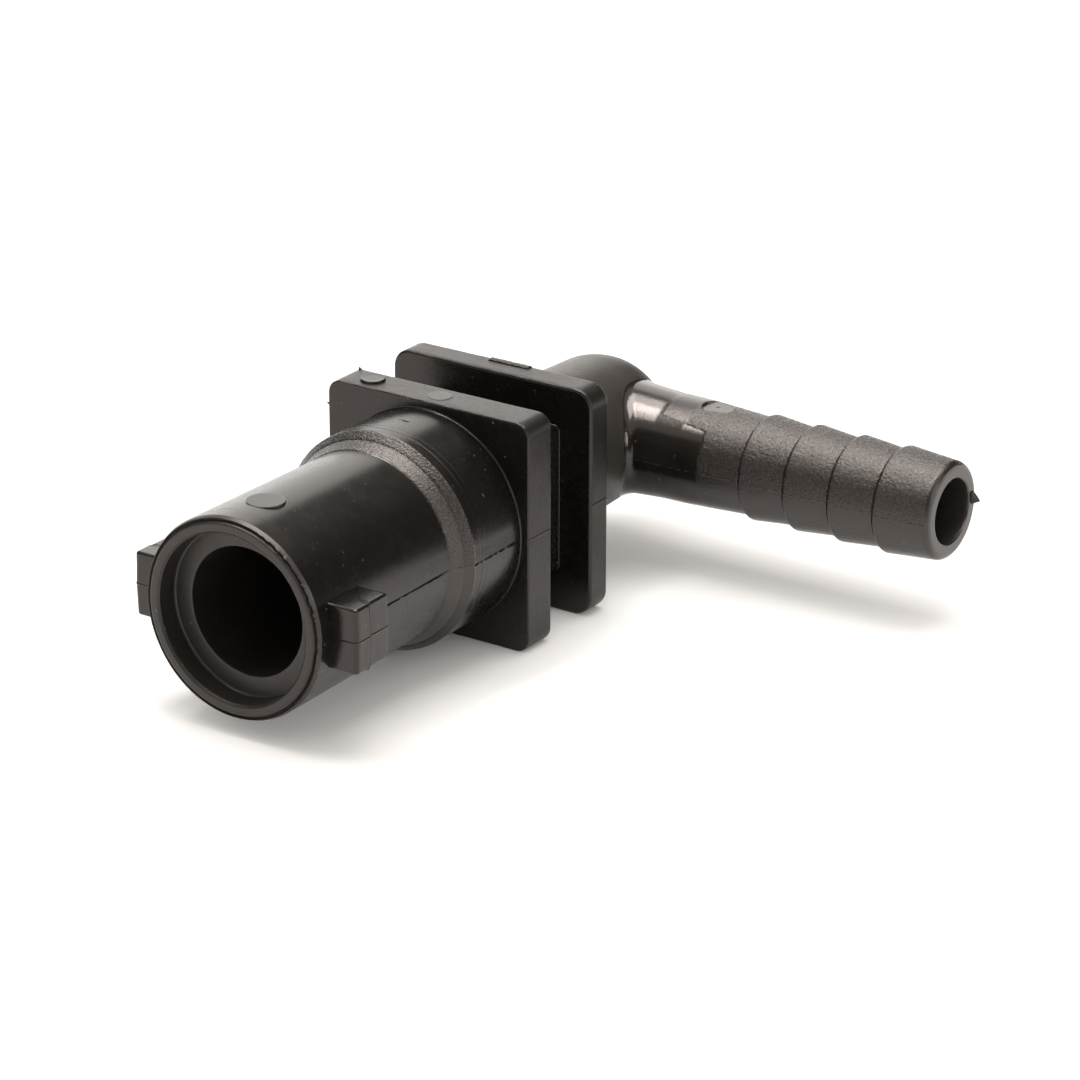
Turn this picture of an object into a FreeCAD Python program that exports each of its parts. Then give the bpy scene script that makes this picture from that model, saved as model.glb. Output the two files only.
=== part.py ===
import FreeCAD, Part
import math
import os

V = FreeCAD.Vector

# ---------------------------------------------------------------------------
# Driving dimensions, in mm.
# Frame: origin at the centre of the mouth face, +Y along the spigot from the
# mouth to the elbow, +X along the hose tail, +Z up.
# ---------------------------------------------------------------------------

# Bayonet spigot
RIM_R = 14.0             # outer radius at the mouth
RIM_ROUND = 0.7          # rounding of the lip's outer edge
RIM_CHAMFER = 0.35       # chamfer of the lip's inner edge
RECESS_R = 11.75         # seal recess behind the mouth
RECESS_DEPTH = 3.4
BORE_R = 8.9             # main bore, recess floor to the back of the rear flange
BARREL_END_R = 13.65     # the spigot narrows a little towards the band
BARREL_END_Y = 29.5

# Two bayonet lugs, at +X and -X
LUG_OUT_X = 18.0         # outer face of the raised front pad
LUG_STEP = 0.2           # how much lower the rest of the outer face is
LUG_Y0 = 2.85
LUG_Y1 = 10.2
LUG_STEP_Y = 5.8
LUG_HALF_Z = 4.5
LUG_ROUND = 0.5

# Grained conical band and the collar behind it
BAND_CREASE_Y = 31.6
BAND_CREASE_R = 14.6
BAND_END_Y = 32.7
COLLAR_R = 15.5
COLLAR_END_R = 15.3

# Two square flanges with a square neck between them
FLANGE_HALF = 16.5
FLANGE_EDGE_ROUND = 0.35
FRONT_Y0 = 43.8
FRONT_Y1 = 49.5
FRONT_CORNER_R = 2.0
REAR_Y0 = 59.0
REAR_Y1 = 63.2
REAR_CORNER_R = 2.8
NECK_HALF_X = 11.3
NECK_HALF_Z = 10.65
NECK_CORNER_R = 0.8

# Elbow hub
STEM_Y = 85.2            # hose tail axis
HUB_END_R = 10.4         # also the radius of the hub's round end
HUB_ROOT_R = 11.2
HUB_ROOT_FILLET = 1.2
HUB_CAVITY_R = 7.6

# Hose tail
HOSE_BORE_R = 4.65
STEM_R = 7.6
STEM_FLARE_X = 13.5      # the root taper ends here
STEM_ROOT_X = 4.2
STEM_ROOT_R = 8.2
STEM_BEND_X = 18.0
STEM_BEND_R = 7.55
STEM_END_R = 7.0
BARB_COUNT = 4
BARB_X0 = 28.5
BARB_PITCH = 7.12
BARB_R = 7.6
BARB_ROOT_R = 6.9
BARB_ROUND = 0.3
TIP_X = 58.2
TIP_ROUND = 1.0

# Moulding leftovers that stand proud of the surface
PAD_X = -11.0            # ejector pad on the front flange's top edge
PAD_R = 1.75
PAD_HEIGHT = 0.35
TAB_X0 = -2.6            # gate remnant on the rear flange's top edge
TAB_X1 = 4.2
TAB_Y0 = 62.0
TAB_Y1 = 63.0
TAB_HEIGHT = 0.35
SPUR_LENGTH = 1.2        # flash spur on the hose tail's end face
SPUR_TOP_Z = 1.3
SPUR_BOTTOM_Z = -0.9
SPUR_THICK = 0.35


def turned(outline, origin, along, outward):
    """Solid turned about an axis from a closed outline.

    Each entry is (distance, radius). An entry (distance, radius, "via") is a
    point on the arc between its two neighbours.
    """
    def place(entry):
        return origin + along * entry[0] + outward * entry[1]

    ring = outline + [outline[0]]
    edges = []
    i = 0
    while i < len(ring) - 1:
        if len(ring[i + 1]) == 3:
            arc = Part.Arc(place(ring[i]), place(ring[i + 1]), place(ring[i + 2]))
            edges.append(arc.toShape())
            i += 2
        else:
            edges.append(Part.makeLine(place(ring[i]), place(ring[i + 1])))
            i += 1
    face = Part.Face(Part.Wire(edges))
    return face.revolve(origin, along, 360)


def turned_y(outline):
    """Solid turned about the spigot axis."""
    return turned(outline, V(0, 0, 0), V(0, 1, 0), V(1, 0, 0))


def turned_x(outline):
    """Solid turned about the hose tail axis."""
    return turned(outline, V(0, STEM_Y, 0), V(1, 0, 0), V(0, 0, 1))


def arc_middle(centre, radius, degrees):
    """Middle point of an arc in an outline."""
    angle = math.radians(degrees)
    a = centre[0] + radius * math.cos(angle)
    r = centre[1] + radius * math.sin(angle)
    return (a, r, "via")


def round_plate(half_x, half_z, y0, y1, corner_r, edge_r):
    """Rectangular plate across the spigot axis, with the bore through it."""
    size = V(-half_x, y0, -half_z)
    body = Part.makeBox(2 * half_x, y1 - y0, 2 * half_z, size)
    corners = [e for e in body.Edges if abs(e.tangentAt(0).y) > 0.9]
    body = body.makeFillet(corner_r, corners)
    if edge_r:
        rims = [e for e in body.Edges if e.BoundBox.YLength < 0.01]
        body = body.makeFillet(edge_r, rims)
    bore = Part.makeCylinder(BORE_R, y1 - y0, V(0, y0, 0), V(0, 1, 0))
    return body.cut(bore)


def mouth_rim():
    round_mid = arc_middle((RIM_ROUND, RIM_R - RIM_ROUND), RIM_ROUND, 135)
    return turned_y([
        (0, RECESS_R + RIM_CHAMFER),
        (0, RIM_R - RIM_ROUND),
        round_mid,
        (RIM_ROUND, RIM_R),
        (RECESS_DEPTH, RIM_R),
        (RECESS_DEPTH, RECESS_R),
        (RIM_CHAMFER, RECESS_R),
    ])


def bayonet_barrel():
    return turned_y([
        (RECESS_DEPTH, BORE_R),
        (RECESS_DEPTH, RIM_R),
        (BARREL_END_Y, BARREL_END_R),
        (BARREL_END_Y, BORE_R),
    ])


def bayonet_lug():
    """Lug at +X, cut to the round of the spigot."""
    low = V(RIM_R - 2, LUG_Y0, -LUG_HALF_Z)
    depth = LUG_OUT_X - LUG_STEP - low.x
    block = Part.makeBox(depth, LUG_Y1 - LUG_Y0, 2 * LUG_HALF_Z, low)
    outer = [e for e in block.Edges if e.BoundBox.XMin > low.x + 1]
    block = block.makeFillet(LUG_ROUND, outer)
    pad = Part.makeBox(LUG_OUT_X - low.x, LUG_STEP_Y - LUG_Y0, 2 * LUG_HALF_Z, low)
    outer = [e for e in pad.Edges if e.BoundBox.XMin > low.x + 1]
    front = [e for e in outer if e.BoundBox.YMin < LUG_STEP_Y - 0.1]
    pad = pad.makeFillet(LUG_ROUND, front)
    spigot = turned_y([
        (0, 0),
        (0, RIM_R),
        (RECESS_DEPTH, RIM_R),
        (BARREL_END_Y, BARREL_END_R),
        (BARREL_END_Y, 0),
    ])
    return block.fuse(pad).cut(spigot).removeSplitter()


def grained_band():
    return turned_y([
        (BARREL_END_Y, BORE_R),
        (BARREL_END_Y, BARREL_END_R),
        (BAND_CREASE_Y, BAND_CREASE_R),
        (BAND_END_Y, COLLAR_R),
        (BAND_END_Y, BORE_R),
    ])


def collar():
    return turned_y([
        (BAND_END_Y, BORE_R),
        (BAND_END_Y, COLLAR_R),
        (FRONT_Y0, COLLAR_END_R),
        (FRONT_Y0, BORE_R),
    ])


def front_flange():
    return round_plate(FLANGE_HALF, FLANGE_HALF, FRONT_Y0, FRONT_Y1,
                       FRONT_CORNER_R, FLANGE_EDGE_ROUND)


def slot_neck():
    return round_plate(NECK_HALF_X, NECK_HALF_Z, FRONT_Y1, REAR_Y0, NECK_CORNER_R, 0)


def rear_flange():
    return round_plate(FLANGE_HALF, FLANGE_HALF, REAR_Y0, REAR_Y1,
                       REAR_CORNER_R, FLANGE_EDGE_ROUND)


def hub_outside():
    """Cone from the rear flange to the hose tail axis, with a round end."""
    fillet_centre = (REAR_Y1 + HUB_ROOT_FILLET, HUB_ROOT_R + HUB_ROOT_FILLET)
    return turned_y([
        (REAR_Y1, 0),
        (REAR_Y1, HUB_ROOT_R + HUB_ROOT_FILLET),
        arc_middle(fillet_centre, HUB_ROOT_FILLET, 225),
        (REAR_Y1 + HUB_ROOT_FILLET, HUB_ROOT_R),
        (STEM_Y, HUB_END_R),
        arc_middle((STEM_Y, 0), HUB_END_R, 45),
        (STEM_Y + HUB_END_R, 0),
    ])


def elbow_hub():
    """Hub with a cavity that turns the bore into the hose tail."""
    cavity = turned_y([
        (REAR_Y1, 0),
        (REAR_Y1, HUB_CAVITY_R),
        (STEM_Y, HUB_CAVITY_R),
        arc_middle((STEM_Y, 0), HUB_CAVITY_R, 45),
        (STEM_Y + HUB_CAVITY_R, 0),
    ])
    side_bore = Part.makeCylinder(HOSE_BORE_R, TIP_X, V(0, STEM_Y, 0), V(1, 0, 0))
    return hub_outside().cut(cavity).cut(side_bore)


def hose_stem():
    """Plain part of the hose tail, flared where it leaves the hub."""
    stem = turned_x([
        (STEM_ROOT_X, HOSE_BORE_R),
        (STEM_ROOT_X, STEM_ROOT_R),
        (STEM_FLARE_X, STEM_R),
        (STEM_BEND_X, STEM_BEND_R),
        (BARB_X0, STEM_END_R),
        (BARB_X0, HOSE_BORE_R),
    ])
    return stem.cut(hub_outside())


def barb(index):
    """One ridge: steep towards the hub, sloping towards the tip."""
    x0 = BARB_X0 + index * BARB_PITCH
    crest = (x0 + BARB_ROUND, BARB_R - BARB_ROUND)
    outline = [
        (x0, HOSE_BORE_R),
        (x0, BARB_R - BARB_ROUND),
        arc_middle(crest, BARB_ROUND, 135),
        (x0 + BARB_ROUND, BARB_R),
    ]
    if index < BARB_COUNT - 1:
        outline.append((x0 + BARB_PITCH, BARB_ROOT_R))
        outline.append((x0 + BARB_PITCH, HOSE_BORE_R))
    else:
        end = (TIP_X - TIP_ROUND, BARB_ROOT_R - TIP_ROUND)
        outline.append((TIP_X - TIP_ROUND, BARB_ROOT_R))
        outline.append(arc_middle(end, TIP_ROUND, 45))
        outline.append((TIP_X, BARB_ROOT_R - TIP_ROUND))
        outline.append((TIP_X, HOSE_BORE_R))
    return turned_x(outline)


def ejector_pad():
    centre = V(PAD_X, (FRONT_Y0 + FRONT_Y1) / 2, FLANGE_HALF)
    return Part.makeCylinder(PAD_R, PAD_HEIGHT, centre, V(0, 0, 1))


def gate_tab():
    low = V(TAB_X0, TAB_Y0, FLANGE_HALF)
    return Part.makeBox(TAB_X1 - TAB_X0, TAB_Y1 - TAB_Y0, TAB_HEIGHT, low)


def tip_spur():
    """Thin pointed flash beside the hose bore, on the parting plane."""
    y0 = STEM_Y + HOSE_BORE_R + 0.4
    corners = [
        V(TIP_X, y0, SPUR_BOTTOM_Z),
        V(TIP_X, y0, SPUR_TOP_Z),
        V(TIP_X + SPUR_LENGTH, y0, 0),
    ]
    face = Part.Face(Part.makePolygon(corners + [corners[0]]))
    return face.extrude(V(0, SPUR_THICK, 0))


def all_nodes():
    lug = bayonet_lug()
    nodes = {
        "mouth_rim": mouth_rim(),
        "bayonet_barrel": bayonet_barrel(),
        "bayonet_lug_right": lug,
        "bayonet_lug_left": lug.mirror(V(0, 0, 0), V(1, 0, 0)),
        "grained_band": grained_band(),
        "collar": collar(),
        "front_flange": front_flange(),
        "slot_neck": slot_neck(),
        "rear_flange": rear_flange(),
        "elbow_hub": elbow_hub(),
        "hose_stem": hose_stem(),
        "ejector_pad": ejector_pad(),
        "gate_tab": gate_tab(),
        "tip_spur": tip_spur(),
    }
    for index in range(BARB_COUNT):
        nodes["barb_%d" % (index + 1)] = barb(index)
    return nodes


os.makedirs("parts", exist_ok=True)
for name, shape in all_nodes().items():
    if shape.ShapeType == "Compound" and len(shape.Solids) == 1:
        shape = shape.Solids[0]
    shape.exportStep(os.path.join("parts", name + ".step"))
    size = shape.BoundBox
    print("%-18s solids %d valid %s volume %9.1f  X %.2f..%.2f  Y %.2f..%.2f  Z %.2f..%.2f" % (
        name, len(shape.Solids), shape.isValid(), shape.Volume,
        size.XMin, size.XMax, size.YMin, size.YMax, size.ZMin, size.ZMax))
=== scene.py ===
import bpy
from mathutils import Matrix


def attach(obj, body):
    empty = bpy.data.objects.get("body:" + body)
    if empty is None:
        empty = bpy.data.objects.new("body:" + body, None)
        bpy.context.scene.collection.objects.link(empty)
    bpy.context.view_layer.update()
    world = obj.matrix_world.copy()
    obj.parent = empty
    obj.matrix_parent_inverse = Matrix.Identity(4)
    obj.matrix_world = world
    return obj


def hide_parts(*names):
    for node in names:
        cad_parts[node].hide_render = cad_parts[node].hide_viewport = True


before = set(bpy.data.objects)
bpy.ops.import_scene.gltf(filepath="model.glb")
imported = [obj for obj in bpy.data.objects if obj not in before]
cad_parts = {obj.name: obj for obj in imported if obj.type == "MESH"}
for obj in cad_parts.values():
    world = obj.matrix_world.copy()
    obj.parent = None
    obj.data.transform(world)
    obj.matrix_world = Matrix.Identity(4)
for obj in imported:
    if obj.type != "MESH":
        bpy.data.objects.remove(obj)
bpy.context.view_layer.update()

import math

import bmesh
import bpy
import numpy as np
from mathutils import Matrix, Vector, noise

# ---------------------------------------------------------------------------
# Dimensions in mm, in the row frame: +Y from the mouth to the elbow, +X along
# the hose tail, +Z up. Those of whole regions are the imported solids'. The small
# roundings, grooves and marks are the visual model's own.
# ---------------------------------------------------------------------------
MM = 0.001
WELD_DISTANCE = 1e-8       # in metres
FLOOR_Z = -16.505          # just under the flanges, so that the faces don't coincide

RIM_R, RECESS_R, RECESS_DEPTH, BORE_R = 14.0, 11.75, 3.4, 8.9
BARREL_END_Y, BARREL_END_R = 29.5, 13.65
BAND_CREASE_Y, BAND_CREASE_R, BAND_END_Y = 31.6, 14.6, 32.7
COLLAR_R, COLLAR_END_R = 15.5, 15.3
COLLAR_START_Y = 33.0      # the band's rounded edge belongs to the band
FLANGE_HALF = 16.5
FRONT_Y0, FRONT_Y1, FRONT_CORNER_R = 43.8, 49.5, 2.0
REAR_Y0, REAR_Y1, REAR_CORNER_R = 59.0, 63.2, 2.8
NECK_HALF_X, NECK_HALF_Z, NECK_CORNER_R = 11.3, 10.65, 0.8
STEM_Y = 85.2
HUB_END_R, HUB_ROOT_R, HUB_ROOT_FILLET, HUB_CAVITY_R = 10.4, 11.2, 1.2, 7.6
HOSE_BORE_R = 4.65
STEM_R, STEM_FLARE_X, STEM_ROOT_X, STEM_ROOT_R = 7.6, 13.5, 4.2, 8.2
STEM_BEND_X, STEM_BEND_R, STEM_END_R = 18.0, 7.55, 7.0
BARB_X0, BARB_PITCH, BARB_R, BARB_ROOT_R, BARB_ROUND = 28.5, 7.12, 7.6, 6.9, 0.3
TIP_X, TIP_ROUND = 58.2, 1.0
LUG_IN_X, LUG_OUT_X, LUG_HALF_Z, LUG_EDGE_R = 12.6, 18.0, 4.5, 0.38
LUG_Y0, LUG_STEP_Y, LUG_Y1, LUG_STEP = 2.85, 5.8, 10.2, 0.2
STEM_MARK_X, STEM_MARK_R, STEM_MARK_Z = 20.6, 2.3, 7.2


# ---------------------------------------------------------------------------
# Outlines and meshes
# ---------------------------------------------------------------------------
def rounded(corners, steps=6):
    """Closed outline with its corners (a, b, radius) replaced by arcs."""
    points = []
    for i, corner in enumerate(corners):
        p = Vector(corner[:2])
        radius = corner[2] if len(corner) > 2 else 0
        if not radius:
            points.append(p)
            continue
        before = Vector(corners[i - 1][:2]) - p
        after = Vector(corners[(i + 1) % len(corners)][:2]) - p
        half = before.angle(after) / 2
        cut = min(radius / math.tan(half), 0.49 * before.length, 0.49 * after.length)
        radius = cut * math.tan(half)
        start = p + before.normalized() * cut
        inward = (before.normalized() + after.normalized()).normalized()
        middle = p + inward * (radius / math.sin(half))
        a0 = math.atan2(start.y - middle.y, start.x - middle.x)
        end = p + after.normalized() * cut
        a1 = math.atan2(end.y - middle.y, end.x - middle.x)
        sweep = (a1 - a0 + math.pi) % (2 * math.pi) - math.pi
        for k in range(steps + 1):
            angle = a0 + sweep * k / steps
            points.append(middle + Vector((math.cos(angle), math.sin(angle))) * radius)
    return points


def quarter(radius, steps=6):
    """A rounded edge as (distance from the end, inset from the side) pairs, side first."""
    angles = [math.pi / 2 * k / steps for k in range(steps + 1)]
    return [(radius * (1 - math.sin(a)), radius * (1 - math.cos(a))) for a in angles]


def divided(points, longest, closed=True):
    """The outline with every run longer than `longest` divided."""
    out = []
    count = len(points)
    for i in range(count if closed else count - 1):
        p, q = points[i], points[(i + 1) % count]
        parts = max(1, math.ceil((q - p).length / longest))
        out += [p.lerp(q, k / parts) for k in range(parts)]
    if not closed:
        out.append(points[-1])
    return out


def around(count, fine=()):
    """Angles of a turned mesh's columns. Each fine entry is (middle, reach, step)."""
    angles = list(np.arange(count) * 2 * math.pi / count)
    for middle, reach, step in fine:
        angles = [a for a in angles if abs(angle_gap(a, middle)) > reach + step / 2]
        angles += [(middle + d) % (2 * math.pi) for d in np.arange(-reach, reach + step / 2, step)]
    return np.array(sorted(angles))


def at_parting(reach, step):
    """Fine entries for `around` at the right and left, where the parting line runs."""
    return [(0.0, reach, step), (math.pi, reach, step)]


def shade(mesh, sharp=35.0):
    """Smooth shading, with a crease at edges sharper than the angle in degrees."""
    mesh.shade_smooth()
    mesh.set_sharp_from_angle(angle=math.radians(sharp))


def skin(name, grid, open_ends=False, weld=False, sharp=35.0):
    """Closed mesh from a grid of points (rows, columns, 3) in mm. It wraps both ways, or only round
    its columns if its first and last rows are single points. Welding joins points that coincide."""
    rows, columns = grid.shape[:2]
    index = np.arange(rows * columns).reshape(rows, columns)
    right = np.roll(index, -1, axis=1)
    faces = np.stack([index, right, np.roll(right, -1, axis=0), np.roll(index, -1, axis=0)], axis=-1)
    if open_ends:
        faces = faces[:-1]
    mesh = bpy.data.meshes.new(name)
    mesh.from_pydata((grid.reshape(-1, 3) * MM).tolist(), [], faces.reshape(-1, 4).tolist())
    bm = bmesh.new()
    bm.from_mesh(mesh)
    if open_ends or weld:
        bmesh.ops.remove_doubles(bm, verts=bm.verts, dist=WELD_DISTANCE)
    bmesh.ops.recalc_face_normals(bm, faces=bm.faces)
    if bm.calc_volume(signed=True) < 0:
        bmesh.ops.reverse_faces(bm, faces=bm.faces)
    bm.to_mesh(mesh)
    bm.free()
    shade(mesh, sharp)
    piece = bpy.data.objects.new(name, mesh)
    bpy.context.scene.collection.objects.link(piece)
    return piece


def turned(outline, angles, tail=False):
    """Grid of an outline of (distance, radius) points turned about the spigot or the hose tail."""
    along = np.array([p[0] for p in outline])[:, None] * np.ones(len(angles))
    radius = np.array([p[1] for p in outline])[:, None] * np.ones(len(angles))
    return placed(along, radius, angles, tail)


def placed(along, radius, angles, tail):
    """Points of a turned grid from its distances and radii."""
    c, s = np.cos(angles)[None, :], np.sin(angles)[None, :]
    if tail:
        return np.stack([along, STEM_Y - radius * c, radius * s], axis=-1)
    return np.stack([radius * c, along, radius * s], axis=-1)


def pushed(grid, height, tail=False):
    """Grid with each point moved outward from its axis by height."""
    out = grid.copy()
    if tail:
        side = (out - np.array([0.0, STEM_Y, 0.0])) * np.array([0.0, 1.0, 1.0])
    else:
        side = out * np.array([1.0, 0.0, 1.0])
    length = np.linalg.norm(side, axis=-1, keepdims=True)
    return out + side / np.maximum(length, 1e-9) * height[..., None]


def noise_field(points, pitch, seed=0.0, octaves=1):
    """Smooth noise, about -1 to 1, at each point, with features of about pitch mm."""
    flat = points.reshape(-1, 3) / pitch + seed
    values = [sum(noise.noise(Vector(p) * 2 ** k) / 2 ** k for k in range(octaves)) for p in flat]
    return np.array(values).reshape(points.shape[:-1]) * 1.6


def angle_gap(angles, middle):
    """Signed angle from middle, wrapped."""
    return (angles - middle + math.pi) % (2 * math.pi) - math.pi


def elevation(angles):
    """How far above level each column of a turned mesh faces, in degrees."""
    return np.degrees(np.arcsin(np.clip(np.sin(angles), -1, 1)))[None, :]


def outline_normals(flat):
    """Unit normals at a closed outline's points, to the right of its direction."""
    tangent = np.roll(flat, -1, axis=0) - np.roll(flat, 1, axis=0)
    normal = np.stack([tangent[:, 1], -tangent[:, 0]], axis=-1)
    return normal / np.linalg.norm(normal, axis=-1, keepdims=True)


def parting_ridge(grid, angles, radius, height, width, seed):
    """Thin uneven ridge that a mould's closing line leaves at both sides."""
    ridge = np.zeros(grid.shape[:2])
    for middle in (0.0, math.pi):
        reach = np.abs(angle_gap(angles, middle)) * radius
        ridge = np.maximum(ridge, np.clip(1 - reach / width, 0, 1)[None, :])
    rows = noise_field(grid[:, :1, :], 0.9, seed, 2)
    return ridge * height * np.clip(0.75 + 0.7 * rows, 0.1, 1.4)


def store(piece, **masks):
    """Per-vertex numbers that the materials read."""
    for name, values in masks.items():
        layer = piece.data.attributes.new(name, "FLOAT", "POINT")
        if np.isscalar(values):
            values = np.full(len(piece.data.vertices), float(values))
        layer.data.foreach_set("value", np.asarray(values, dtype=np.float32).ravel())


def smooth_step(low, high, x):
    t = np.clip((x - low) / (high - low), 0, 1)
    return t * t * (3 - 2 * t)


# ---------------------------------------------------------------------------
# Materials
# ---------------------------------------------------------------------------
class Nodes:
    """Short way to build a node tree."""

    def __init__(self, tree):
        self.tree = tree

    def add(self, kind, **settings):
        node = self.tree.nodes.new(kind)
        inputs = settings.pop("inputs", {})
        for key, value in settings.items():
            setattr(node, key, value)
        for key, value in inputs.items():
            if isinstance(value, bpy.types.NodeSocket):
                self.tree.links.new(value, node.inputs[key])
            else:
                node.inputs[key].default_value = value
        return node

    def noise(self, vector, scale, detail=2.0, rough=0.5):
        node = self.add("ShaderNodeTexNoise", inputs={
            "Vector": vector, "Scale": scale, "Detail": detail, "Roughness": rough})
        return node.outputs["Fac"]

    def ranged(self, value, low, high, to_low, to_high):
        node = self.add("ShaderNodeMapRange", inputs={
            "Value": value, "From Min": low, "From Max": high, "To Min": to_low, "To Max": to_high})
        return node.outputs["Result"]

    def maths(self, operation, a, b):
        node = self.add("ShaderNodeMath", operation=operation, inputs={0: a, 1: b})
        return node.outputs[0]


def plastic(name, tint, roughness, grain_roughness, grain_depth, index=1.47):
    """Black moulded plastic. The grain mask takes it from polished to spark-eroded."""
    material = bpy.data.materials.new(name)
    material.use_nodes = True
    material.diffuse_color = (*tint, 1)
    tree = material.node_tree
    tree.nodes.clear()
    n = Nodes(tree)
    place = n.add("ShaderNodeTexCoord").outputs["Object"]
    mm = n.add("ShaderNodeVectorMath", operation="SCALE", inputs={0: place, "Scale": 1000.0}).outputs[0]
    mask = n.add("ShaderNodeAttribute", attribute_name="grain").outputs["Fac"]

    # colour: a broad unevenness, paler where the grain mask is high, and a few pale dust specks
    broad = n.noise(mm, 0.22, 3.0)
    deep = tuple(v * 0.85 for v in tint) + (1,)
    pale = tuple(v * 1.5 for v in tint) + (1,)
    broad = n.maths("ADD", broad, n.maths("MULTIPLY", mask, 0.45))
    ramp = n.add("ShaderNodeValToRGB", inputs={"Fac": broad})
    ramp.color_ramp.elements[0].position, ramp.color_ramp.elements[0].color = 0.35, deep
    ramp.color_ramp.elements[1].position, ramp.color_ramp.elements[1].color = 1.00, pale
    dust = n.ranged(n.noise(mm, 1.7, 1.0), 0.765, 0.80, 0.0, 0.5)
    colour = n.add("ShaderNodeMixRGB", blend_type="MIX", inputs={
        "Fac": dust, "Color1": ramp.outputs["Color"], "Color2": (0.15, 0.148, 0.143, 1)}).outputs["Color"]

    # roughness: cloudy on the polished parts, higher in the grain
    cloud = n.ranged(n.noise(mm, 0.45, 4.0, 0.6), 0.3, 0.7, roughness - 0.02, roughness + 0.03)
    rough_grain = n.ranged(n.noise(mm, 2.4, 2.0), 0.3, 0.7, grain_roughness - 0.08, grain_roughness + 0.06)
    rough = n.add("ShaderNodeMix", data_type="FLOAT", inputs={
        "Factor": mask, 2: cloud, 3: rough_grain}).outputs[0]

    # relief: fine spark-eroded grain where the mask says so, faint drag lines and ripples elsewhere
    fine = n.noise(mm, 5.5, 2.0, 0.55)
    coarse = n.noise(mm, 2.6, 1.0)
    grain = n.maths("ADD", fine, n.maths("MULTIPLY", coarse, 0.6))
    drag_space = n.add("ShaderNodeMapping", inputs={"Vector": mm, "Scale": (0.35, 5.0, 5.0)}).outputs[0]
    drag = n.noise(drag_space, 1.0, 3.0)
    grain_amount = n.ranged(mask, 0.0, 1.0, 0.06, 1.0)
    relief = n.maths("ADD", n.maths("MULTIPLY", grain, grain_amount), n.maths("MULTIPLY", drag, 0.04))
    bump = n.add("ShaderNodeBump", inputs={
        "Strength": 0.8, "Distance": grain_depth * MM, "Height": relief}).outputs["Normal"]

    shader = n.add("ShaderNodeBsdfPrincipled", inputs={
        "Base Color": colour, "Roughness": rough, "Normal": bump, "IOR": index,
        "Specular Tint": (1.0, 0.905, 0.865, 1.0)})
    out = n.add("ShaderNodeOutputMaterial")
    tree.links.new(shader.outputs[0], out.inputs["Surface"])
    return material


def floor_material():
    material = bpy.data.materials.new("pale_floor")
    material.use_nodes = True
    shader = material.node_tree.nodes["Principled BSDF"]
    shader.inputs["Base Color"].default_value = (0.90, 0.90, 0.90, 1)
    shader.inputs["Roughness"].default_value = 0.9
    shader.inputs["Specular IOR Level"].default_value = 0.1
    return material


SMOOTH = plastic("smooth_plastic", (0.0034, 0.0030, 0.0026), 0.25, 0.46, 0.060)
GRAINED = plastic("grained_plastic", (0.0066, 0.0058, 0.0051), 0.15, 0.29, 0.130, 1.56)
BAND = plastic("band_plastic", (0.0056, 0.0050, 0.0044), 0.20, 0.25, 0.120, 1.60)
# paler than the smooth plastic: on the rim's face its own matt tone, in the recess and bore painted light
# that stands in for light getting inside
MATTE_AND_PAINTED_BORE_LIGHT = plastic("recess_plastic", (0.0104, 0.0092, 0.0081), 0.38, 0.50, 0.060)
# the hub's own paler matt tone; in the hose tail's bore the same colour is painted light, standing in for
# light that gets inside
HUB_AND_PAINTED_BORE_LIGHT = plastic("hub_plastic", (0.0150, 0.0134, 0.0118), 0.36, 0.46, 0.080)
GLOSSY = plastic("lug_plastic", (0.0038, 0.0034, 0.0029), 0.12, 0.34, 0.110, 1.48)


def dress(piece, nodes, material, grain=0.0):
    """Body, replaced nodes, material and grain mask of a finished piece."""
    piece.data.materials.append(material)
    if "grain" not in piece.data.attributes:
        store(piece, grain=grain)
    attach(piece, "root")
    if nodes:
        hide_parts(*nodes)
    return piece


def paint(piece, material, test, grain):
    """Second material and its grain, on the faces whose middle in mm passes the test."""
    piece.data.materials.append(material)
    layer = piece.data.attributes["grain"].data
    for face in piece.data.polygons:
        if test(face.center / MM):
            face.material_index = 1
            for k in face.vertices:
                layer[k].value = grain


# ---------------------------------------------------------------------------
# Spigot
# ---------------------------------------------------------------------------
SPIGOT_ANGLES = around(432, at_parting(0.018, 0.0045))


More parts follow.
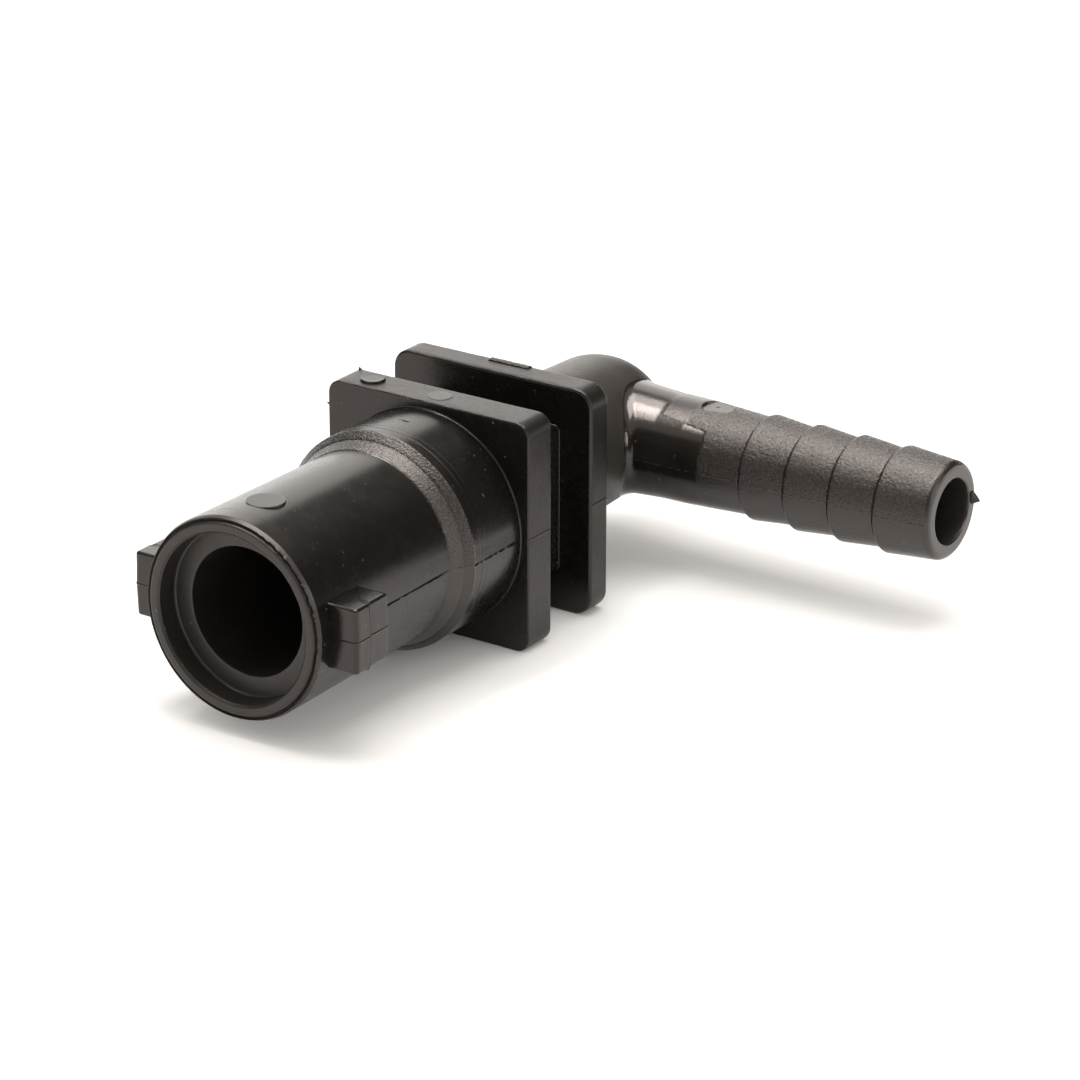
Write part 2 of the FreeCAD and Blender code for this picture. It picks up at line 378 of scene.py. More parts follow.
def make_rim():
    outline = rounded([
        (RECESS_DEPTH, RECESS_R - 0.28),
        (RECESS_DEPTH - 0.08, RECESS_R - 0.10, 0.12),
        (RECESS_DEPTH - 0.26, RECESS_R, 0.15),
        (0.32, RECESS_R, 0.15),
        (0.0, RECESS_R + 0.34, 0.15),
        (0.0, 13.16, 0.38),
        (0.74, 13.44, 0.06),
        (0.24, 13.74, 0.06),
        (0.86, RIM_R, 0.25),
        (RECESS_DEPTH, RIM_R),
    ], steps=5)
    outline = divided(outline, 0.35)
    grid = turned(outline, SPIGOT_ANGLES)
    along = np.array([p[0] for p in outline])[:, None]
    radius = np.array([p[1] for p in outline])[:, None]
    # the thin flash left on the outer edge comes and goes round the rim
    edge = np.exp(-((radius - 13.72) / 0.10) ** 2) * (along < 0.8)
    ring = turned([(0.3, 13.72)], SPIGOT_ANGLES)
    ragged = np.clip(noise_field(ring, 0.60, 3.1, 3), -0.3, 1.0) + 0.20
    more = 0.06 + 0.9 * np.clip(np.cos(SPIGOT_ANGLES - math.radians(22)), 0, 1) ** 3
    grid[..., 1] -= edge * ragged * more[None, :] * 0.32
    grid = pushed(grid, edge * np.clip(noise_field(ring, 0.6, 8.3, 3), -0.2, 1.0) * more[None, :] * 0.14)
    outer = (radius > 13.9) & (along > 0.8)
    grid = pushed(grid, parting_ridge(grid, SPIGOT_ANGLES, RIM_R, 0.06, 0.14, 5.0) * outer)
    grid = pushed(grid, noise_field(grid, 4.0, 2.0) * 0.010)
    # the recess wall and floor inside the rim are painted paler, as light reaching into the recess
    piece = dress(skin("mouth_rim", grid), ["mouth_rim"], MATTE_AND_PAINTED_BORE_LIGHT, 0.25)
    paint(piece, SMOOTH, lambda p: p.y > 0.80 and math.hypot(p.x, p.z) > 13.8, 0.03)
    return piece


def make_barrel():
    outline = divided(rounded([
        (RECESS_DEPTH, BORE_R, 0.15),
        (RECESS_DEPTH, RIM_R),
        (BARREL_END_Y, BARREL_END_R),
        (BARREL_END_Y, BORE_R),
    ]), 0.5)
    grid = turned(outline, SPIGOT_ANGLES)
    outer = np.array([1.0 if p[1] > 13.6 and p[0] > RECESS_DEPTH else 0.0 for p in outline])[:, None]
    lift = parting_ridge(grid, SPIGOT_ANGLES, RIM_R, 0.15, 0.20, 1.0)
    grid = pushed(grid, outer * (lift + noise_field(grid, 6.0, 7.0) * 0.012))
    piece = dress(skin("bayonet_barrel", grid), ["bayonet_barrel"], SMOOTH, 0.03)
    # the recess floor and the bore inside the barrel are painted paler, as light reaching into the bore
    paint(piece, MATTE_AND_PAINTED_BORE_LIGHT, lambda p: math.hypot(p.x, p.z) < 13.4, 0.25)
    return piece


def make_band():
    outline = divided(rounded([
        (BARREL_END_Y, BORE_R),
        (BARREL_END_Y, BARREL_END_R),
        (BAND_CREASE_Y, BAND_CREASE_R, 0.06),
        (BAND_END_Y, COLLAR_R, 0.18),
        (COLLAR_START_Y, COLLAR_R),
        (COLLAR_START_Y, BORE_R),
    ], steps=4), 0.17)
    angles = around(600, at_parting(0.012, 0.004))
    grid = turned(outline, angles)
    along = np.array([p[0] for p in outline])[:, None]
    outer = np.array([1.0 if p[1] > BARREL_END_R - 0.01 else 0.0 for p in outline])[:, None]
    inside = smooth_step(BARREL_END_Y, BARREL_END_Y + 0.3, along)
    inside = inside * (1 - smooth_step(BAND_END_Y + 0.05, COLLAR_START_Y, along))
    above = 0.15 + 0.85 * smooth_step(-0.06, 0.02, np.sin(angles))[None, :]
    depth = 0.013 + 0.006 * smooth_step(BAND_CREASE_Y - 0.2, BAND_CREASE_Y + 0.3, along)
    rough = noise_field(grid, 0.34, 11.0, 2) * depth * above
    crease = -0.09 * np.exp(-((along - BAND_CREASE_Y + 0.05) / 0.10) ** 2)
    lift = (rough + crease) * inside + parting_ridge(grid, angles, BAND_CREASE_R, 0.11, 0.17, 9.0) * inside
    piece = skin("grained_band", pushed(grid, lift * outer), sharp=60)
    store(piece, grain=0.10 + 0.88 * inside * above)
    return dress(piece, ["grained_band"], BAND)


def make_collar():
    fillet = 0.22
    fine = np.concatenate([np.arange(34.0, 36.0, 0.06), np.arange(38.1, 39.0, 0.06)])
    coarse = [y for y in np.arange(COLLAR_START_Y, FRONT_Y0 - fillet, 0.3)
              if np.min(np.abs(fine - y)) > 0.1]
    draft = (COLLAR_END_R - COLLAR_R) / (FRONT_Y0 - COLLAR_START_Y)
    outer = [(y, COLLAR_R + draft * (y - COLLAR_START_Y)) for y in sorted([*fine, *coarse])]
    corner = [(FRONT_Y0 - short, COLLAR_END_R + inset) for short, inset in quarter(fillet, 7)]
    front = [(COLLAR_START_Y, r) for r in np.linspace(BORE_R, COLLAR_R, 8)[:-1]]
    back = [(FRONT_Y0, r) for r in np.linspace(COLLAR_END_R + fillet, BORE_R, 8)[1:]]
    bore = [(y, BORE_R) for y in np.linspace(FRONT_Y0, COLLAR_START_Y, 10)[1:-1]]
    outline = front + outer + corner + back + bore
    angles = around(288, at_parting(0.012, 0.004) + [(math.pi / 2, 0.09, 0.006)])
    grid = turned(outline, angles)
    along = np.array([p[0] for p in outline])[:, None]
    skinned = np.zeros((len(outline), 1))
    skinned[len(front):len(front) + len(outer)] = 1.0
    rings = sum(-h * np.exp(-((along - y) / 0.09) ** 2) for y, h in ((34.4, 0.035), (35.5, 0.020)))
    across = angle_gap(angles, math.pi / 2)[None, :] * COLLAR_R
    nick = -0.16 * np.exp(-((along - 38.55 - 0.06 * across) / 0.13) ** 2) * np.exp(-(across / 0.75) ** 4)
    ends = smooth_step(COLLAR_START_Y, 34.0, along) * (1 - smooth_step(42.4, 43.4, along))
    lift = rings + nick + parting_ridge(grid, angles, COLLAR_R, 0.15, 0.20, 4.0)
    lift = lift + noise_field(grid, 6.0, 8.0) * 0.010 * ends
    return dress(skin("collar", pushed(grid, lift * skinned)), ["collar"], SMOOTH, 0.04)


def make_lug(side):
    """Lug at +X or -X, its inner end set into the spigot's wall."""
    step_x = LUG_OUT_X - LUG_STEP
    outline = divided(rounded([
        (LUG_IN_X, LUG_Y0),
        (LUG_OUT_X, LUG_Y0, 0.62),
        (LUG_OUT_X, LUG_STEP_Y, 0.10),
        (step_x - 0.16, LUG_STEP_Y + 0.10, 0.04),
        (step_x, LUG_STEP_Y + 0.30, 0.08),
        (step_x, LUG_Y1, 0.40),
        (LUG_IN_X, LUG_Y1),
    ], steps=6), 0.45)
    flat = np.array([(p[0], p[1]) for p in outline])
    middle = np.array([15.2, (LUG_Y0 + LUG_Y1) / 2])
    normal = outline_normals(flat)
    normal *= np.sign(np.sum(normal * (flat - middle), axis=-1))[:, None]

    # outlines from top to bottom: rounded edges, drafted sides and the parting line half way
    edge = [(LUG_HALF_Z - short, inset) for short, inset in reversed(quarter(LUG_EDGE_R))]
    levels = [0.0, 0.05, 0.11, 0.2, 0.5, *np.arange(1.0, LUG_HALF_Z - LUG_EDGE_R - 0.05, 0.45)]
    column = edge + [(z, 0.0) for z in reversed(levels)]
    column += [(-z, 0.0) for z in levels[1:]] + [(-z, inset) for z, inset in reversed(edge)]
    rows = []
    for z, inset in column:
        ridge = max(0.0, 1 - abs(z) / 0.11) * 0.07
        draft = 0.03 * abs(z)
        ring = flat + normal * (ridge - inset - draft)
        rows.append(np.column_stack([ring, np.full(len(ring), z)]))

    def shrunk(ring, factor):
        centre = np.array([*middle, ring[0, 2]])
        return centre + (ring - centre) * factor

    # smaller and smaller rings close the flat top and bottom
    for factor in (0.97, 0.7216, 0.3608, 0.0):
        rows = [shrunk(rows[0], factor), *rows, shrunk(rows[-1], factor)]
    grid = np.array(rows)
    grid[..., 0] += noise_field(grid, 1.6, 5.0) * 0.022 * smooth_step(14.6, 15.2, grid[..., 0])
    grid[..., 0] *= side
    name = "bayonet_lug_right" if side > 0 else "bayonet_lug_left"
    piece = skin(name, grid, open_ends=True)
    return dress(piece, [name], GLOSSY, 0.10)


# ---------------------------------------------------------------------------
# Flanges and neck
# ---------------------------------------------------------------------------
def plate_outline(half_x, half_z, corner_r, step=0.6):
    """Points round a rounded rectangle, closer together at the parting line, and their normals."""
    line = [-0.30, -0.15, -0.08, 0.0, 0.08, 0.15, 0.30]
    corners = [(-half_x, -half_z, corner_r), (half_x, -half_z, corner_r)]
    corners += [(half_x, z) for z in line]
    corners += [(half_x, half_z, corner_r), (-half_x, half_z, corner_r)]
    corners += [(-half_x, z) for z in reversed(line)]
    flat = np.array([tuple(p) for p in divided(rounded(corners, steps=10), step)])
    return flat, outline_normals(flat)


def plate_grid(half_x, half_z, corner_r, y0, y1, profile):
    """Rows from the bore round the outside and back. The profile is (y, inset) pairs along the edge."""
    flat, normal = plate_outline(half_x, half_z, corner_r)
    angle = np.arctan2(flat[:, 1], flat[:, 0])
    hole = np.stack([np.cos(angle), np.sin(angle)], axis=-1) * BORE_R
    rows = []

    def add(points, y):
        rows.append(np.column_stack([points[:, 0], np.full(len(points), y), points[:, 1]]))

    first = flat - normal * profile[0][1]
    last = flat - normal * profile[-1][1]
    for t in np.linspace(0, 1, 12)[:-1]:
        add(hole + (first - hole) * t, y0)
    for y, inset in profile:
        add(flat - normal * inset, y)
    for t in np.linspace(1, 0, 12)[1:]:
        add(hole + (last - hole) * t, y1)
    for y in np.linspace(y1, y0, 6)[1:-1]:
        add(hole, y)
    return np.array(rows)


def edge_profile(y0, y1, front_r, back_r):
    """Rounded front and back edges joined by the plate's flat side."""
    rows = [(y0 + short, inset) for short, inset in reversed(quarter(front_r))]
    rows += [(y, 0.0) for y in np.linspace(y0 + front_r, y1 - back_r, 10)[1:-1]]
    return rows + [(y1 - short, inset) for short, inset in quarter(back_r)]


def make_flange(name, y0, y1, corner_r, front_r, back_r):
    profile = edge_profile(y0, y1, front_r, back_r)
    grid = plate_grid(FLANGE_HALF, FLANGE_HALF, corner_r, y0, y1, profile)
    square = np.maximum(np.abs(grid[..., 0]), np.abs(grid[..., 2]))
    side = smooth_step(FLANGE_HALF - 2.2, FLANGE_HALF - 0.02, square)
    along = grid[..., 1]
    side = side * smooth_step(y0, y0 + front_r, along) * (1 - smooth_step(y1 - back_r, y1, along))
    # a slight waviness, the parting line, and a chipped front edge along the top
    wave = noise_field(grid, 3.0, y0, 2) * 0.015
    wave = wave + np.clip(1 - np.abs(grid[..., 2]) / 0.15, 0, 1) * 0.06
    chips = np.exp(-((along - y0 - front_r / 2) / 0.2) ** 2) * smooth_step(16.0, 16.4, grid[..., 2])
    wave = wave - np.clip(noise_field(grid, 0.6, 14.0, 2), 0, 1) * chips * 0.17
    outward = grid * np.array([1.0, 0.0, 1.0])
    outward /= np.maximum(np.linalg.norm(outward, axis=-1, keepdims=True), 1e-9)
    grid = grid + outward * (wave * side)[..., None]
    grid[..., 2] = np.maximum(grid[..., 2], -FLANGE_HALF)
    piece = skin(name, grid)
    store(piece, grain=0.05 + 0.60 * side)
    return dress(piece, [name], SMOOTH)


def make_neck():
    """Neck with small hollow corners at both flanges, its ends set 0.01 mm into them."""
    radius, sink = 0.18, 0.01
    y0, y1 = FRONT_Y1 - sink, REAR_Y0 + sink
    profile = [(y0 + y, -out) for out, y in quarter(radius)]
    profile += [(y, 0.0) for y in np.linspace(FRONT_Y1 + radius, REAR_Y0 - radius, 16)[1:-1]]
    profile += [(y1 - y, -out) for out, y in reversed(quarter(radius))]
    grid = plate_grid(NECK_HALF_X, NECK_HALF_Z, NECK_CORNER_R, y0, y1, profile)
    return dress(skin("slot_neck", grid), ["slot_neck"], SMOOTH, 0.05)


# ---------------------------------------------------------------------------
# Elbow hub and hose tail
# ---------------------------------------------------------------------------
def hub_radius(y):
    return HUB_END_R + (STEM_Y - y) * (HUB_ROOT_R - HUB_END_R) / (STEM_Y - REAR_Y1)


def make_hub():
    root_r = HUB_ROOT_R + HUB_ROOT_FILLET
    outer = [(REAR_Y1 + inset, HUB_ROOT_R + short) for short, inset in quarter(HUB_ROOT_FILLET, 8)]
    outer += [(y, hub_radius(y)) for y in np.linspace(REAR_Y1 + HUB_ROOT_FILLET, STEM_Y, 40)[1:]]
    outer += [(STEM_Y + HUB_END_R * math.sin(a), HUB_END_R * math.cos(a))
              for a in np.linspace(0, math.pi / 2, 33)[1:]]
    inner = [(STEM_Y + HUB_CAVITY_R * math.sin(a), HUB_CAVITY_R * math.cos(a))
             for a in np.linspace(math.pi / 2, 0, 17)]
    inner += [(y, HUB_CAVITY_R) for y in np.linspace(STEM_Y, REAR_Y1, 12)[1:]]
    closing = [(REAR_Y1, r) for r in np.linspace(HUB_CAVITY_R, root_r, 6)[1:-1]]
    angles = around(224, at_parting(0.016, 0.004))
    grid = turned(outer + inner + closing, angles)
    skinned = np.zeros(grid.shape[:2])
    skinned[1:len(outer) - 1] = 1.0
    # the parting line stops on the round end
    ridge = parting_ridge(grid, angles, HUB_END_R, 0.05, 0.14, 2.0) * (grid[..., 1] < 92)
    lift = (noise_field(grid, 5.0, 6.0) * 0.012 + ridge) * skinned
    piece = skin("elbow_hub", pushed(grid, lift), weld=True)
    cut_side_bore(piece)
    store(piece, grain=0.50)
    return dress(piece, ["elbow_hub"], HUB_AND_PAINTED_BORE_LIGHT)


def cut_side_bore(piece):
    """Opens the hub's cavity into the hose tail's bore."""
    angles = np.linspace(0, 2 * math.pi, 96, endpoint=False)
    x0, x1, point = STEM_ROOT_X, 14.0, 1e-7
    ends = [(x0, point), (x0, HOSE_BORE_R), (x1, HOSE_BORE_R), (x1, point)]
    grid = turned(ends, angles, tail=True)
    tool = skin("side_bore_tool", grid, open_ends=True)
    cut = piece.modifiers.new("side_bore", "BOOLEAN")
    cut.operation, cut.solver, cut.object = "DIFFERENCE", "EXACT", tool
    mesh = bpy.data.meshes.new_from_object(piece.evaluated_get(bpy.context.evaluated_depsgraph_get()))
    piece.modifiers.clear()
    piece.data = mesh
    bpy.data.objects.remove(tool)
    shade(mesh)


def stem_radius(x):
    """Radius of the plain stem, which has three straight tapers."""
    return float(np.interp(x, [STEM_ROOT_X, STEM_FLARE_X, STEM_BEND_X, BARB_X0],
                           [STEM_ROOT_R, STEM_R, STEM_BEND_R, STEM_END_R]))


def meets_hub(angle, extra):
    """Distance along the tail axis where the stem's surface, `extra` mm larger, meets the hub."""
    def outside(x):
        r = stem_radius(x) + extra
        y, z = STEM_Y - r * math.cos(angle), r * math.sin(angle)
        if y <= STEM_Y:
            return math.hypot(x, z) - hub_radius(y)
        return math.sqrt(x * x + (y - STEM_Y) ** 2 + z * z) - HUB_END_R

    x = 14.0
    while outside(x) > 0 and x > 1.0:
        x -= 0.02
    return x


def stem_outline(angle, rows_x):
    """The stem's outline at one angle, as its surface from the hub outward and its end and bore."""
    # a small hollow fillet where the tail leaves the hub, larger below and in front
    below, front = max(0.0, -math.sin(angle)), max(0.0, math.cos(angle))
    size = 0.35 + 0.75 * below + 1.10 * front
    start, crease = meets_hub(angle, size), meets_hub(angle, 0.0)
    end = crease + size * 1.25
    first = (start - 0.02, stem_radius(start) + size)
    bend, last = (crease, stem_radius(crease)), (end, stem_radius(end))
    surface = []
    for t in np.linspace(0, 1, 12):
        surface.append(tuple((1 - t) ** 2 * a + 2 * t * (1 - t) * b + t * t * c
                             for a, b, c in zip(first, bend, last)))
    surface += [(x, stem_radius(x)) for x in np.linspace(end, rows_x[0], 14)[1:]]
    surface += [(x, stem_radius(x) - barb_groove(x, BARB_X0)) for x in rows_x[1:]]

    closing = [(BARB_X0, STEM_END_R - barb_groove(BARB_X0, BARB_X0))]
    closing += [(BARB_X0, STEM_END_R + (HOSE_BORE_R - STEM_END_R) * t) for t in (0.33, 0.67, 1.0)]
    root = math.sqrt(HUB_END_R ** 2 - (HOSE_BORE_R * math.sin(angle)) ** 2) - 0.4
    closing += [(x, HOSE_BORE_R) for x in np.linspace(BARB_X0, root, 30)[1:]]
    for t in (0.33, 0.67):
        closing.append((root + (first[0] - 0.3 - root) * t, HOSE_BORE_R + (first[1] - HOSE_BORE_R) * t))
    return surface, closing


def barb_groove(x, face):
    """Depth of the dark line under a ridge that faces the hub at `face`."""
    return 0.32 * float(smooth_step(face - 0.42, face - 0.12, x))


def make_stem():
    angles = around(300, at_parting(0.02, 0.005) + [(math.pi / 2, 0.33, 0.0125)])
    rows_x = sorted(set(np.round(np.concatenate([
        np.arange(13.4, 18.1, 0.17), np.arange(18.1, 23.2, 0.1), np.arange(23.2, 28.0, 0.17),
        np.arange(28.06, BARB_X0 - 0.02, 0.06)]), 4)))
    outlines = [stem_outline(angle, rows_x) for angle in angles]
    points = np.array([surface + closing for surface, closing in outlines])
    grid = placed(points[..., 0].T, points[..., 1].T, angles, True)
    along = grid[..., 0]
    outer = np.zeros(grid.shape[:2])
    outer[:len(outlines[0][0])] = 1.0
    # the spark-eroded grain starts further out at the side than on top
    up = elevation(angles)
    begin = 14.0 + 7.5 * (1 - smooth_step(46, 56, up)) + noise_field(grid, 1.4, 3.0) * 0.25
    mask = smooth_step(-0.15, 0.35, along - begin) * (0.25 + 0.75 * smooth_step(18.0, 19.1, along))
    mask = mask * (0.35 + 0.65 * smooth_step(-12, 6, up))
    rough = noise_field(grid, 0.30, 21.0, 2) * 0.020 * mask
    fade = smooth_step(9.0, 12.0, along)
    ridge = parting_ridge(grid, angles, STEM_R, 0.05, 0.12, 13.0) * fade
    grid = pushed(grid, (rough + ridge) * outer, tail=True)
    # flat-bottomed ejector mark, with the small dot at its middle
    reach = np.hypot(grid[..., 0] - STEM_MARK_X, grid[..., 1] - STEM_Y)
    inside = (reach < STEM_MARK_R) & (grid[..., 2] > STEM_MARK_Z) & (outer > 0)
    depth = STEM_MARK_Z - 0.10 * np.exp(-(reach / 0.22) ** 2)
    grid[..., 2] = np.where(inside, depth, grid[..., 2])
    mask = np.where(inside, 0.15, mask)
    piece = skin("hose_stem", grid, sharp=50)
    store(piece, grain=0.02 + 0.9 * mask * outer)
    return dress(piece, ["hose_stem"], GRAINED)


def make_barb(index):
    x0 = BARB_X0 + index * BARB_PITCH
    corners = [(x0, HOSE_BORE_R), (x0, BARB_R, BARB_ROUND)]
    if index < 3:
        end, groove_r = x0 + BARB_PITCH, BARB_ROOT_R - 0.34
        corners += [(end - 0.42, BARB_ROOT_R + 0.04, 0.1), (end - 0.12, groove_r, 0.1),
                    (end, groove_r), (end, HOSE_BORE_R)]
    else:
        end = TIP_X
        corners += [(end, BARB_ROOT_R, TIP_ROUND), (end, HOSE_BORE_R, 0.25)]
    outline = divided(rounded(corners, steps=7), 0.17)
    # the bore, which is mostly dark, keeps every fourth row
    inner = [p for p in outline if p[1] <= HOSE_BORE_R + 0.001]
    keep = [p for i, p in enumerate(outline)
            if p not in inner or i % 4 == 0 or p[0] in (x0, x0 + BARB_PITCH)]
    angles = around(300, at_parting(0.02, 0.005))
    grid = turned(keep, angles, tail=True)
    along = grid[..., 0]
    outer = np.array([1.0 if p[1] > 6.3 and p[0] > x0 + 1e-6 else 0.0 for p in keep])[:, None]
    up = elevation(angles)
    mask = (0.45 + 0.55 * smooth_step(-14, 8, up)) * smooth_step(x0 - 0.1, x0 + 0.35, along)
    mask = mask * (1 - smooth_step(TIP_X - 1.2, TIP_X - 0.3, along) * 0.5)
    hold = smooth_step(x0, x0 + 0.25, along) * (1 - smooth_step(end - 0.2, end, along))
    rough = noise_field(grid, 0.30, 31.0 + index, 2) * 0.022 * mask
    ridge = parting_ridge(grid, angles, 7.3, 0.05, 0.12, 17.0 + index)
    grid = pushed(grid, (rough + ridge) * outer * hold, tail=True)
    name = "barb_%d" % (index + 1)
    piece = skin(name, grid, sharp=50)
    store(piece, grain=0.08 + 0.85 * mask * outer)
    dress(piece, [name], GRAINED)
    # the bore is painted paler with the hub's material, as light reaching into it
    paint(piece, HUB_AND_PAINTED_BORE_LIGHT, lambda p: math.hypot(p.y - STEM_Y, p.z) < HOSE_BORE_R + 0.02, 0.3)
    return piece


# ---------------------------------------------------------------------------
# Small leftovers of the moulding
# ---------------------------------------------------------------------------
def make_disc(name, centre, radius, bottom, top, edge, nodes=(), dish=0.0, grain=0.15):
    """Flat round pad with a rounded rim, standing on Z."""
    outline = [(0.0, bottom), (radius, bottom)]
    outline += [(radius - inset, top - short) for short, inset in quarter(edge, 4)]
    outline += [(radius * t, top - dish) for t in (0.85, 0.5, 0.2, 0.0)]
    angles = np.linspace(0, 2 * math.pi, 96, endpoint=False)
    rows = []
    for r, z in outline:
        rows.append(np.stack([centre[0] + r * np.cos(angles), centre[1] + r * np.sin(angles),
                              np.full(len(angles), z)], axis=-1))
    piece = skin(name, np.array(rows), open_ends=True)
    return dress(piece, list(nodes), SMOOTH, grain)


def make_gate_tab():
    """Thin uneven remnant on the rear flange's top edge."""
    x0, x1, y0, y1, base, height = -2.6, 4.2, 62.0, 63.0, 16.35, 0.42
    rows = []
    for x in np.linspace(x0, x1, 60):
        end = min(1.0, (x - x0) / 0.25, (x1 - x) / 0.25)
        wobble = noise.noise(Vector((x * 1.3, 4.0, 0.0))) * 0.07
        h = height * (0.55 + 0.45 * max(0.0, end)) + wobble * end
        inset = 0.22 + 0.10 * (1 - max(0.0, end))
        section = [(y0, base), (y0, base + h - 0.12), (y0 + inset, base + h),
                   (y1 - inset, base + h), (y1, base + h - 0.12), (y1, base)]
        rows.append([(x, y, z) for y, z in section])
    middle = np.mean(np.array(rows)[[0, -1]], axis=1)
    first = np.repeat(middle[:1, None, :], 6, axis=1)
    last = np.repeat(middle[1:, None, :], 6, axis=1)
    grid = np.concatenate([first, np.array(rows), last])
    piece = skin("gate_tab", grid, open_ends=True)
    return dress(piece, ["gate_tab"], SMOOTH, 0.4)


def make_spur(name, base, tip, width, thick, across, nodes=()):
    """Small pointed flash from base to tip, wide along `across`."""
    base, tip, across = np.array(base), np.array(tip), np.array(across)
    along = (tip - base) / np.linalg.norm(tip - base)
    other = np.cross(along, across)
    rows = [np.repeat(base[None, :], 16, axis=0)]
    angles = np.linspace(0, 2 * math.pi, 16, endpoint=False)
    for t in (0.0, 0.15, 0.35, 0.55, 0.75, 0.9):
        size = (1 - t) ** 0.8
        bend = across * 0.12 * width * math.sin(t * 3)
        ring = [base + (tip - base) * t + bend + across * math.cos(a) * width * size
                + other * math.sin(a) * thick * size for a in angles]
        rows.append(np.array(ring))
    rows.append(np.repeat((tip + across * 0.12 * width * math.sin(3))[None, :], 16, axis=0))
    piece = skin(name, np.array(rows), open_ends=True)
    return dress(piece, list(nodes), GRAINED, 0.2)


def make_object():
    make_rim()
    make_barrel()
    make_band()
    make_collar()
    make_lug(1)
    make_lug(-1)
    make_flange("front_flange", FRONT_Y0, FRONT_Y1, FRONT_CORNER_R, 0.22, 0.45)
    make_neck()
    make_flange("rear_flange", REAR_Y0, REAR_Y1, REAR_CORNER_R, 0.45, 0.35)
    make_hub()
    make_stem()
    for index in range(4):
        make_barb(index)
    middle_y = (FRONT_Y0 + FRONT_Y1) / 2
    make_disc("spigot_ejector_mark", (0.0, 8.0), 2.6, 13.2, 14.02, 0.05)
    make_disc("ejector_pad", (-11.0, middle_y), 1.75, 16.3, 16.85, 0.12, ["ejector_pad"], dish=0.03)
    make_disc("flange_ejector_mark", (0.2, middle_y), 1.7, 16.3, 16.545, 0.03)
    make_gate_tab()
    make_spur("tip_spur", (57.9, 90.7, 0.25), (59.4, 90.9, -0.10), 1.25, 0.20, (0, 0, 1),
              ["tip_spur"])
    make_spur("corner_flash", (-14.7, 48.95, 16.3), (-15.1, 49.15, 16.88), 0.50, 0.24, (1, 0, 0))
    make_spur("side_flash", (-16.35, 44.0, 12.7), (-16.9, 43.95, 12.8), 0.3, 0.1, (0, 0, 1))
    make_spur("mouth_flash_right", (13.8, 1.1, -0.4), (14.5, 0.95, -0.3), 0.30, 0.12, (0, 0, 1))
    make_spur("mouth_flash_left", (-13.8, 1.1, 0.5), (-14.4, 1.0, 0.7), 0.35, 0.12, (0, 0, 1))


# ---------------------------------------------------------------------------
# Floor, light and camera
# ---------------------------------------------------------------------------
def make_floor():
    mesh = bpy.data.meshes.new("floor")
    half, z = 3.0, FLOOR_Z * MM
    corners = [(-half, -half, z), (half, -half, z), (half, half, z), (-half, half, z)]
    mesh.from_pydata(corners, [], [(0, 1, 2, 3)])
    floor = bpy.data.objects.new("floor", mesh)
    bpy.context.scene.collection.objects.link(floor)
    mesh.materials.append(floor_material())


LIT_POINT = (0.012, 0.045, 0.0)
LIGHT_COLOUR = (1.0, 0.972, 0.935)


def soft_box(name, direction, distance, width, height, radiance, share, across):
    """Pair of area lights that face the object from one place: one for gloss, one for matt surfaces."""
    middle = Vector(LIT_POINT)
    way = Vector(direction).normalized()
    side = (Vector(across) - way * way.dot(Vector(across))).normalized()
    rise = way.cross(side)
    place = middle + way * distance
    for kind, strength in (("shine", radiance), ("glow", radiance * share)):
        light = bpy.data.lights.new(name + "_" + kind, "AREA")
        light.shape = "RECTANGLE"
        light.size, light.size_y = width, height
        light.energy = strength * math.pi * width * height
        light.color = LIGHT_COLOUR
        box = bpy.data.objects.new(name + "_" + kind, light)
        box.visible_glossy = kind == "shine"
        box.visible_diffuse = kind == "glow"
        box.matrix_world = Matrix((
            (side.x, rise.x, way.x, place.x),
            (side.y, rise.y, way.y, place.y),
            (side.z, rise.z, way.z, place.z),
            (0, 0, 0, 1)))
        bpy.context.scene.collection.objects.link(box)


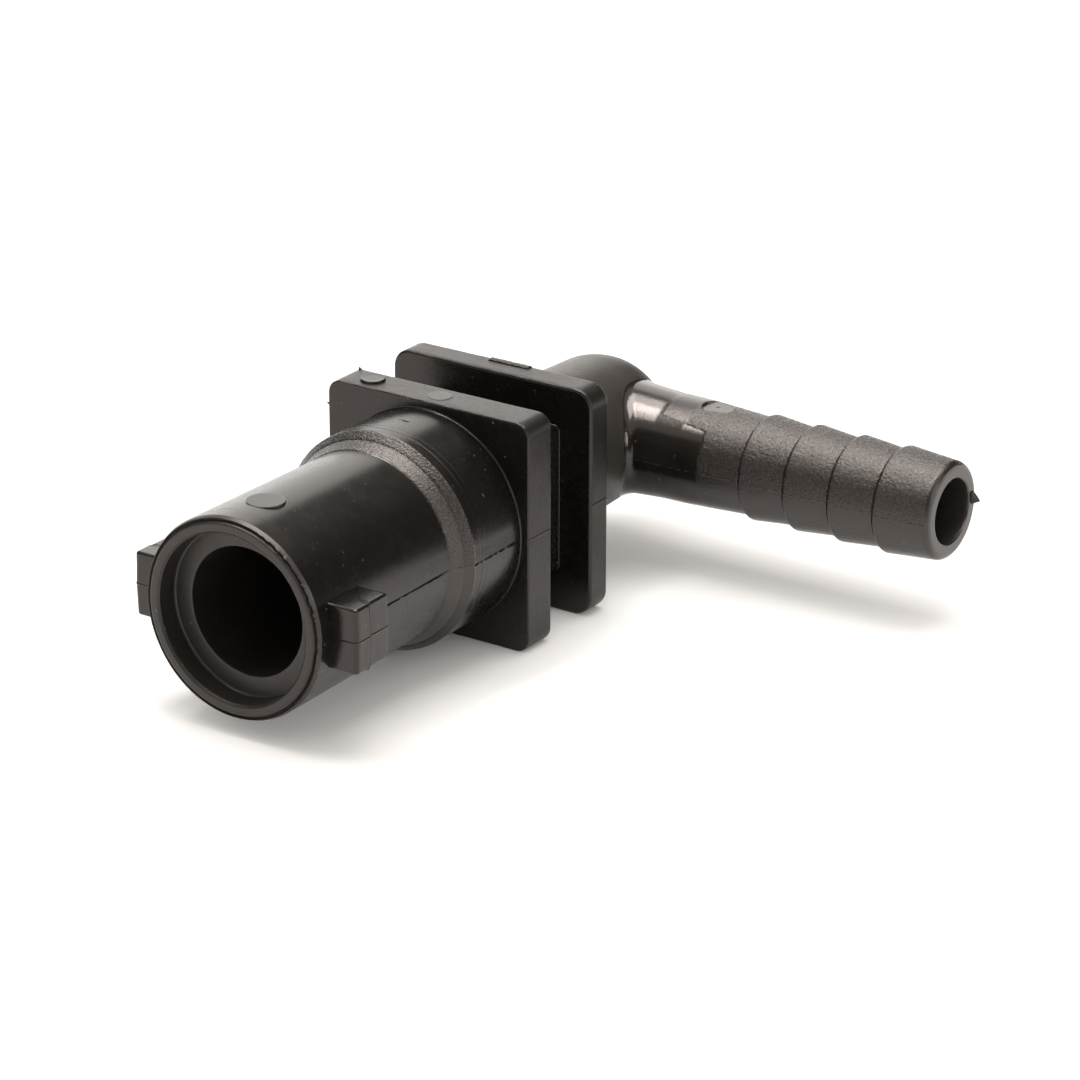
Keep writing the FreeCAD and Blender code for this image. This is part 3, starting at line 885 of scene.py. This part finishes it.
# name, direction from the object, distance, width, height (m), radiance in reflections,
# share of it on matt surfaces, and the axis that the width lies along
SOFT_BOXES = [
    ("ceiling", (0.0, 0.0, 1.0), 1.0, 2.0, 2.0, 0.75, 1.6, (1, 0, 0)),
    ("top_box", (-0.08, 0.14, 1.0), 1.0, 0.80, 0.68, 9.5, 0.95, (1, 0, 0)),
    ("left_box", (-0.36, -0.14, 0.92), 0.9, 0.46, 0.135, 15.5, 0.70, (0, 1, 0)),
    ("back_wall", (-0.70, 0.66, 0.30), 1.2, 1.05, 0.9, 2.1, 1.0, (1, 0, 0)),
    ("front_wall", (-0.10, -0.99, 0.11), 1.0, 1.3, 0.24, 2.2, 1.0, (1, 0, 0)),
    ("right_card", (0.94, 0.05, 0.36), 1.0, 0.5, 0.40, 5.0, 0.5, (0, 1, 0)),
]


def make_light():
    world = bpy.data.worlds.new("studio")
    bpy.context.scene.world = world
    world.use_nodes = True
    tree = world.node_tree
    tree.nodes.clear()
    n = Nodes(tree)
    seen = n.add("ShaderNodeBackground", inputs={"Color": (1, 1, 1, 1), "Strength": 1.0})
    fill = n.add("ShaderNodeBackground", inputs={"Color": (1.0, 0.955, 0.915, 1), "Strength": 1.0})
    dim = n.add("ShaderNodeBackground", inputs={"Color": (1, 1, 1, 1), "Strength": 0.08})
    path = n.add("ShaderNodeLightPath").outputs
    soft = n.add("ShaderNodeMixShader", inputs={
        0: path["Is Glossy Ray"], 1: fill.outputs[0], 2: dim.outputs[0]})
    mix = n.add("ShaderNodeMixShader", inputs={
        0: path["Is Camera Ray"], 1: soft.outputs[0], 2: seen.outputs[0]})
    out = n.add("ShaderNodeOutputWorld")
    tree.links.new(mix.outputs[0], out.inputs["Surface"])
    for box in SOFT_BOXES:
        soft_box(*box)


def make_camera():
    data = bpy.data.cameras.new("camera")
    data.sensor_width, data.lens = 36.0, 150.829
    data.clip_start, data.clip_end = 0.01, 20.0
    camera = bpy.data.objects.new("camera", data)
    right = Vector((0.8292, 0.5590, 0.0018)).normalized()
    forward = Vector((-0.5173, 0.7685, -0.3765)).normalized()
    up = right.cross(forward).normalized()
    right = forward.cross(up).normalized()
    camera.matrix_world = Matrix((
        (right.x, up.x, -forward.x, 0.33126),
        (right.y, up.y, -forward.y, -0.42099),
        (right.z, up.z, -forward.z, 0.22834),
        (0, 0, 0, 1)))
    bpy.context.scene.collection.objects.link(camera)
    bpy.context.scene.camera = camera


make_camera()
make_object()
make_floor()
make_light()
bpy.context.scene.view_settings.view_transform = "Standard"
bpy.context.scene.view_settings.look = "None"

bpy.context.view_layer.update()
